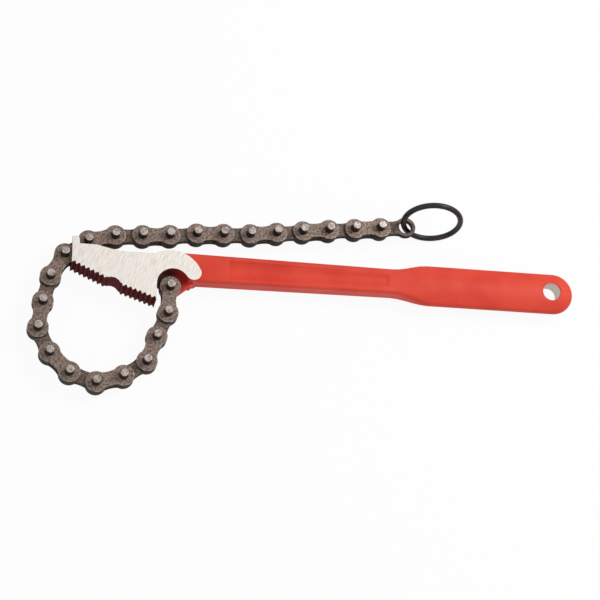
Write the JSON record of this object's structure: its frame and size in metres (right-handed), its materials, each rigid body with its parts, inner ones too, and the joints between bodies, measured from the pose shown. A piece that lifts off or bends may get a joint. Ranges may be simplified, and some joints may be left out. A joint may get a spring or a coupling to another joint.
{
  "type": "chain pipe wrench",
  "caption": "Chain pipe wrench: a toothed jaw forged in one with a red handle, and a pinned leaf chain that wraps a pipe and hooks over the jaw's nose.",
  "frame": {"origin": "centre of the hanging hole on the tool's mid-plane", "axes": "+X from the jaw to the free end of the handle, +Z along the hanging hole and the chain's pins"},
  "size_m": [0.3243, 0.1207, 0.0366],
  "materials": {
    "red_enamel": "gloss enamel over forged steel, ground bare on the jaw's flat sides",
    "outer_plate": "dark tumbled steel",
    "inner_plate": "dark tumbled steel",
    "pin_steel": "turned steel",
    "ring_wire": "black oxide"
  },
  "bodies": {
    "wrench": {"jaw_and_handle": "red_enamel"},
    "outer_link_1": {"front_plate_1": "outer_plate", "back_plate_1": "outer_plate", "link_pins_1": "pin_steel"},
    "inner_link_1": {"inner_plates_1": "inner_plate"},
    "outer_link_2": {"front_plate_2": "outer_plate", "back_plate_2": "outer_plate", "link_pins_2": "pin_steel"},
    "inner_link_2": {"inner_plates_2": "inner_plate"},
    "outer_link_3": {"front_plate_3": "outer_plate", "back_plate_3": "outer_plate", "link_pins_3": "pin_steel"},
    "inner_link_3": {"inner_plates_3": "inner_plate"},
    "outer_link_4": {"front_plate_4": "outer_plate", "back_plate_4": "outer_plate", "link_pins_4": "pin_steel"},
    "inner_link_4": {"inner_plates_4": "inner_plate"},
    "outer_link_5": {"front_plate_5": "outer_plate", "back_plate_5": "outer_plate", "link_pins_5": "pin_steel"},
    "inner_link_5": {"inner_plates_5": "inner_plate"},
    "outer_link_6": {"front_plate_6": "outer_plate", "back_plate_6": "outer_plate", "link_pins_6": "pin_steel"},
    "inner_link_6": {"inner_plates_6": "inner_plate"},
    "outer_link_7": {"front_plate_7": "outer_plate", "back_plate_7": "outer_plate", "link_pins_7": "pin_steel"},
    "inner_link_7": {"inner_plates_7": "inner_plate"},
    "outer_link_8": {"front_plate_8": "outer_plate", "back_plate_8": "outer_plate", "link_pins_8": "pin_steel"},
    "inner_link_8": {"inner_plates_8": "inner_plate"},
    "outer_link_9": {"front_plate_9": "outer_plate", "back_plate_9": "outer_plate", "link_pins_9": "pin_steel"},
    "inner_link_9": {"inner_plates_9": "inner_plate"},
    "outer_link_10": {"front_plate_10": "outer_plate", "back_plate_10": "outer_plate", "link_pins_10": "pin_steel"},
    "inner_link_10": {"inner_plates_10": "inner_plate"},
    "outer_link_11": {"front_plate_11": "outer_plate", "back_plate_11": "outer_plate", "link_pins_11": "pin_steel"},
    "inner_link_11": {"inner_plates_11": "inner_plate"},
    "outer_link_12": {"front_plate_12": "outer_plate", "back_plate_12": "outer_plate", "link_pins_12": "pin_steel"},
    "inner_link_12": {"inner_plates_12": "inner_plate"},
    "ring": {"end_ring": "ring_wire"}
  },
  "joints": [
    {"name": "chain_pivot_1", "type": "hinge", "parent": "wrench", "child": "outer_link_1", "pos_m": [-0.23, -0.012, 0], "axis": [0, 0, 1], "range_deg": [0, 6]},
    {"name": "chain_pivot_2", "type": "hinge", "parent": "outer_link_1", "child": "inner_link_1", "pos_m": [-0.23091, -0.02785, 0], "axis": [0, 0, 1], "range_deg": [-8, 0]},
    {"name": "chain_pivot_3", "type": "hinge", "parent": "inner_link_1", "child": "outer_link_2", "pos_m": [-0.23694, -0.04254, 0], "axis": [0, 0, 1], "range_deg": [-8, 0]},
    {"name": "chain_pivot_4", "type": "hinge", "parent": "outer_link_2", "child": "inner_link_2", "pos_m": [-0.24219, -0.05752, 0], "axis": [0, 0, 1], "range_deg": [-8, 0]},
    {"name": "chain_pivot_5", "type": "hinge", "parent": "inner_link_2", "child": "outer_link_3", "pos_m": [-0.25508, -0.06678, 0], "axis": [0, 0, 1], "range_deg": [-9, 0]},
    {"name": "chain_pivot_6", "type": "hinge", "parent": "outer_link_3", "child": "inner_link_3", "pos_m": [-0.27028, -0.07135, 0], "axis": [0, 0, 1], "range_deg": [-8, 0]},
    {"name": "chain_pivot_7", "type": "hinge", "parent": "inner_link_3", "child": "outer_link_4", "pos_m": [-0.28535, -0.06636, 0], "axis": [0, 0, 1], "range_deg": [0, 12]},
    {"name": "chain_pivot_8", "type": "hinge", "parent": "outer_link_4", "child": "inner_link_4", "pos_m": [-0.29691, -0.05547, 0], "axis": [0, 0, 1], "range_deg": [0, 16.01]},
    {"name": "chain_pivot_9", "type": "hinge", "parent": "inner_link_4", "child": "outer_link_5", "pos_m": [-0.30404, -0.04129, 0], "axis": [0, 0, 1], "range_deg": [0, 18]},
    {"name": "chain_pivot_10", "type": "hinge", "parent": "outer_link_5", "child": "inner_link_5", "pos_m": [-0.30202, -0.02554, 0], "axis": [0, 0, 1], "range_deg": [0, 16.01]},
    {"name": "chain_pivot_11", "type": "hinge", "parent": "inner_link_5", "child": "outer_link_6", "pos_m": [-0.29837, -0.01009, 0], "axis": [0, 0, 1], "range_deg": [0, 16.01]},
    {"name": "chain_pivot_12", "type": "hinge", "parent": "outer_link_6", "child": "inner_link_6", "pos_m": [-0.29085, 0.00388, 0], "axis": [0, 0, 1], "range_deg": [0, 24]},
    {"name": "chain_pivot_13", "type": "hinge", "parent": "inner_link_6", "child": "outer_link_7", "pos_m": [-0.27779, 0.01292, 0], "axis": [0, 0, 1], "range_deg": [0, 25]},
    {"name": "chain_pivot_14", "type": "hinge", "parent": "outer_link_7", "child": "inner_link_7", "pos_m": [-0.26251, 0.01722, 0], "axis": [0, 0, 1], "range_deg": [0, 25]},
    {"name": "chain_pivot_15", "type": "hinge", "parent": "inner_link_7", "child": "outer_link_8", "pos_m": [-0.24669, 0.01852, 0], "axis": [0, 0, 1], "range_deg": [0, 25]},
    {"name": "chain_pivot_16", "type": "hinge", "parent": "outer_link_8", "child": "inner_link_8", "pos_m": [-0.23087, 0.01982, 0], "axis": [0, 0, 1], "range_deg": [0, 25]},
    {"name": "chain_pivot_17", "type": "hinge", "parent": "inner_link_8", "child": "outer_link_9", "pos_m": [-0.21514, 0.02194, 0], "axis": [0, 0, 1], "range_deg": [0, 25]},
    {"name": "chain_pivot_18", "type": "hinge", "parent": "outer_link_9", "child": "inner_link_9", "pos_m": [-0.19929, 0.02297, 0], "axis": [0, 0, 1], "range_deg": [0, 25]},
    {"name": "chain_pivot_19", "type": "hinge", "parent": "inner_link_9", "child": "outer_link_10", "pos_m": [-0.18345, 0.02399, 0], "axis": [0, 0, 1], "range_deg": [0, 25]},
    {"name": "chain_pivot_20", "type": "hinge", "parent": "outer_link_10", "child": "inner_link_10", "pos_m": [-0.16772, 0.02612, 0], "axis": [0, 0, 1], "range_deg": [0, 25]},
    {"name": "chain_pivot_21", "type": "hinge", "parent": "inner_link_10", "child": "outer_link_11", "pos_m": [-0.15199, 0.02825, 0], "axis": [0, 0, 1], "range_deg": [0, 25]},
    {"name": "chain_pivot_22", "type": "hinge", "parent": "outer_link_11", "child": "inner_link_11", "pos_m": [-0.13626, 0.03037, 0], "axis": [0, 0, 1], "range_deg": [0, 25]},
    {"name": "chain_pivot_23", "type": "hinge", "parent": "inner_link_11", "child": "outer_link_12", "pos_m": [-0.12049, 0.03223, 0], "axis": [0, 0, 1], "range_deg": [0, 25]},
    {"name": "chain_pivot_24", "type": "hinge", "parent": "outer_link_12", "child": "inner_link_12", "pos_m": [-0.10472, 0.03408, 0], "axis": [0, 0, 1], "range_deg": [0, 25]},
    {"name": "ring_swing", "type": "hinge", "parent": "inner_link_12", "child": "ring", "pos_m": [-0.08899, 0.03621, 0], "axis": [0, 0, 1], "range_deg": [-40, 75]}
  ],
  "couplings": [
    {"joint": "chain_pivot_1", "follows": "chain_pivot_12", "ratio": 0.25},
    {"joint": "chain_pivot_2", "follows": "chain_pivot_12", "ratio": -0.3333},
    {"joint": "chain_pivot_3", "follows": "chain_pivot_12", "ratio": -0.3333},
    {"joint": "chain_pivot_4", "follows": "chain_pivot_12", "ratio": -0.3333},
    {"joint": "chain_pivot_5", "follows": "chain_pivot_12", "ratio": -0.375},
    {"joint": "chain_pivot_6", "follows": "chain_pivot_12", "ratio": -0.3333},
    {"joint": "chain_pivot_7", "follows": "chain_pivot_12", "ratio": 0.5},
    {"joint": "chain_pivot_8", "follows": "chain_pivot_12", "ratio": 0.6667},
    {"joint": "chain_pivot_9", "follows": "chain_pivot_12", "ratio": 0.75},
    {"joint": "chain_pivot_10", "follows": "chain_pivot_12", "ratio": 0.6667},
    {"joint": "chain_pivot_11", "follows": "chain_pivot_12", "ratio": 0.6667}
  ]
}
